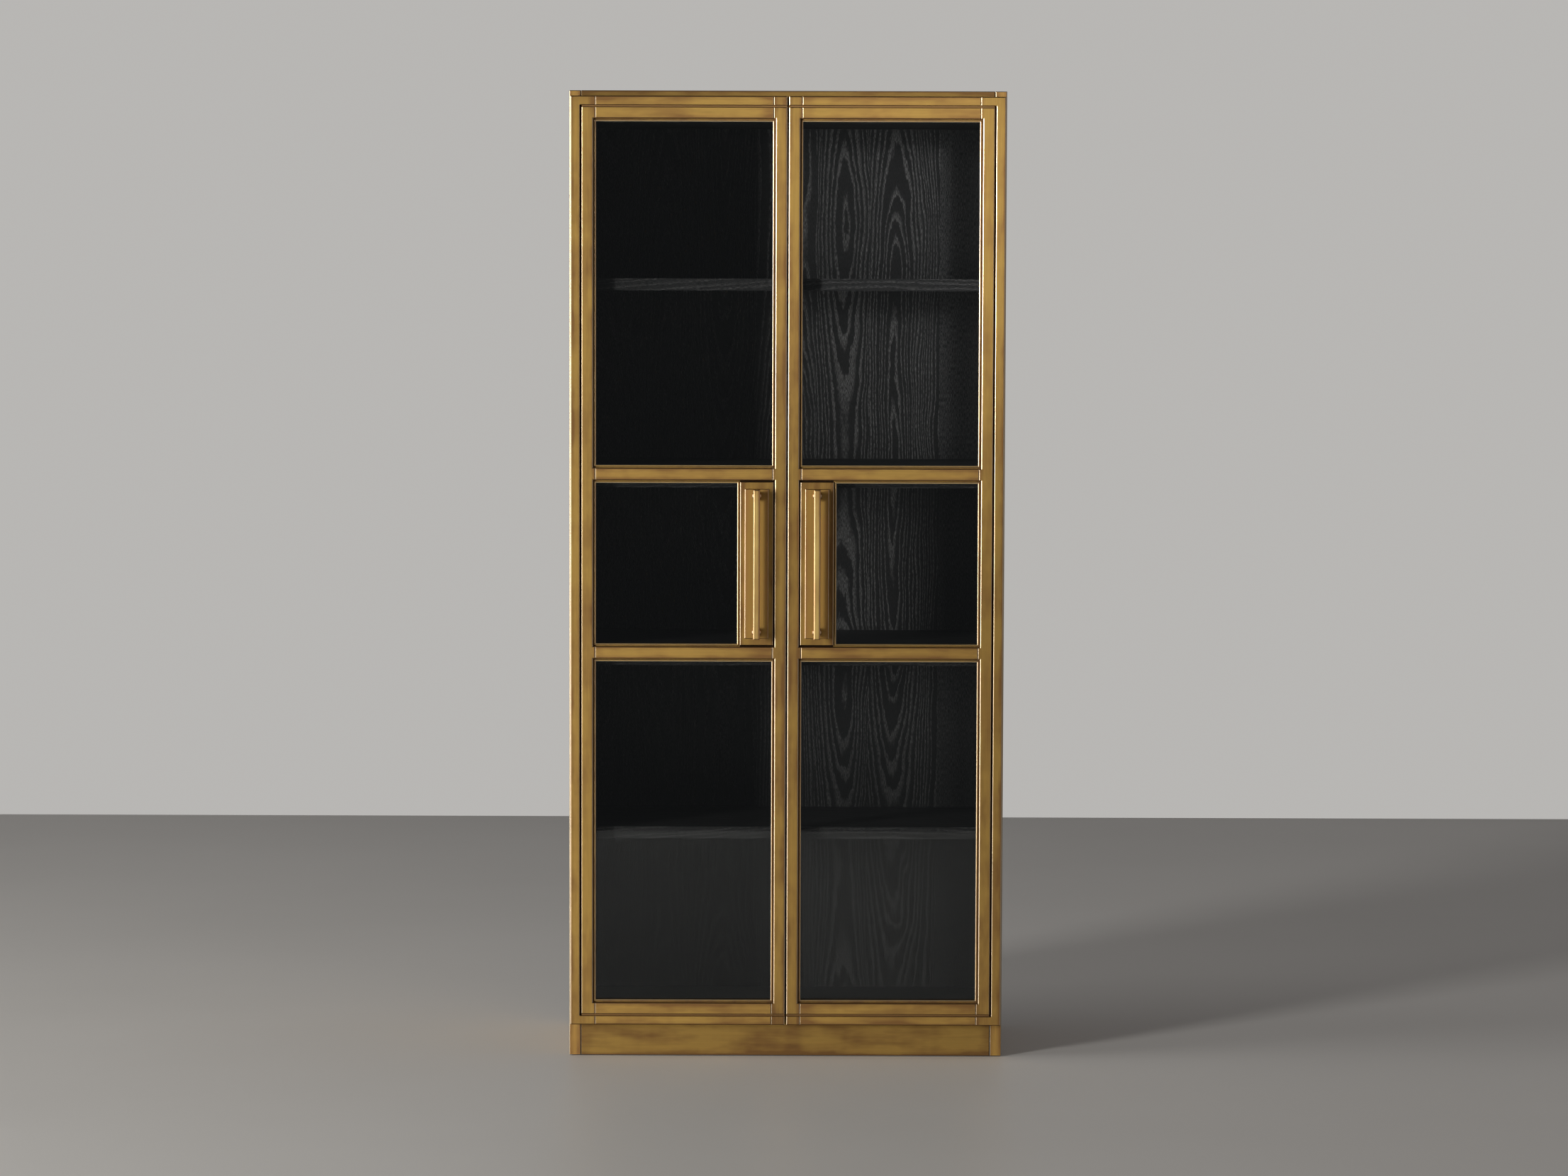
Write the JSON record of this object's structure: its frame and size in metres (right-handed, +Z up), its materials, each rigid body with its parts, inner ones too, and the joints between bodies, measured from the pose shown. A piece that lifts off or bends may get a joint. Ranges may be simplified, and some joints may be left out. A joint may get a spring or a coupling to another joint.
{
  "type": "apothecary cabinet",
  "caption": "Tall brass-clad display cabinet: glazed doors with shadow grooves and bar handles over an ebonised ash inside with shelves.",
  "frame": {"origin": "on the floor, under the middle of the box that holds the cabinet and its handles", "axes": "+X to the cabinet's right as seen from the front, +Y towards its back, +Z up; the doors face -Y"},
  "size_m": [0.914, 0.47, 2.032],
  "materials": {
    "ebonised_ash": "black-stained open-grain ash, dull satin",
    "case_brass": "aged brass sheet, brown patina, brushed along its length",
    "door_brass": "aged brass, mottled patina, brushed, polished arrises",
    "handle_brass": "lightly aged brass, brushed, brighter than the frame",
    "glass": "clear float glass",
    "steel": "zinc-plated steel",
    "bronze": "oiled bronze",
    "nylon": "black nylon"
  },
  "bodies": {
    "case": {"left_side_panel": "ebonised_ash", "right_side_panel": "ebonised_ash", "left_side_cladding": "case_brass", "right_side_cladding": "case_brass", "top_panel": "ebonised_ash", "top_cladding": "case_brass", "ceiling_panel": "ebonised_ash", "top_front_rail": "ebonised_ash", "top_back_rail": "ebonised_ash", "bottom_panel": "ebonised_ash", "plinth_front_board": "ebonised_ash", "plinth_back_board": "ebonised_ash", "plinth_cladding": "case_brass", "back_panel": "ebonised_ash", "back_panel_screws": "steel", "upper_fixed_shelf": "ebonised_ash", "lower_fixed_shelf": "ebonised_ash", "upper_adjustable_shelf": "ebonised_ash", "lower_adjustable_shelf": "ebonised_ash", "shelf_pins": "steel", "glides": "nylon", "door_magnets": "steel", "pivot_brackets": "steel", "bracket_screws": "steel"},
    "left_door": {"left_hinge_stile": "door_brass", "left_meeting_stile": "door_brass", "left_top_rail": "door_brass", "left_upper_cross_rail": "door_brass", "left_lower_cross_rail": "door_brass", "left_bottom_rail": "door_brass", "left_end_blocks": "door_brass", "left_pivot_bushes": "bronze", "left_upper_glass": "glass", "left_middle_glass": "glass", "left_lower_glass": "glass", "left_glazing_beads": "door_brass", "left_handle_panel": "door_brass", "left_handle_backplate": "handle_brass", "left_handle_posts": "handle_brass", "left_handle_bar": "handle_brass", "left_handle_screws": "steel", "left_strike_plates": "steel"},
    "right_door": {"right_hinge_stile": "door_brass", "right_meeting_stile": "door_brass", "right_top_rail": "door_brass", "right_upper_cross_rail": "door_brass", "right_lower_cross_rail": "door_brass", "right_bottom_rail": "door_brass", "right_end_blocks": "door_brass", "right_pivot_bushes": "bronze", "right_upper_glass": "glass", "right_middle_glass": "glass", "right_lower_glass": "glass", "right_glazing_beads": "door_brass", "right_handle_panel": "door_brass", "right_handle_backplate": "handle_brass", "right_handle_posts": "handle_brass", "right_handle_bar": "handle_brass", "right_handle_screws": "steel", "right_strike_plates": "steel"}
  },
  "joints": [
    {"name": "left_door_hinge", "type": "hinge", "parent": "case", "child": "left_door", "pos_m": [-0.4475, -0.185, 1.045], "axis": [0, 0, -1], "range_deg": [0, 110]},
    {"name": "right_door_hinge", "type": "hinge", "parent": "case", "child": "right_door", "pos_m": [0.4475, -0.185, 1.045], "axis": [0, 0, 1], "range_deg": [0, 110]}
  ]
}
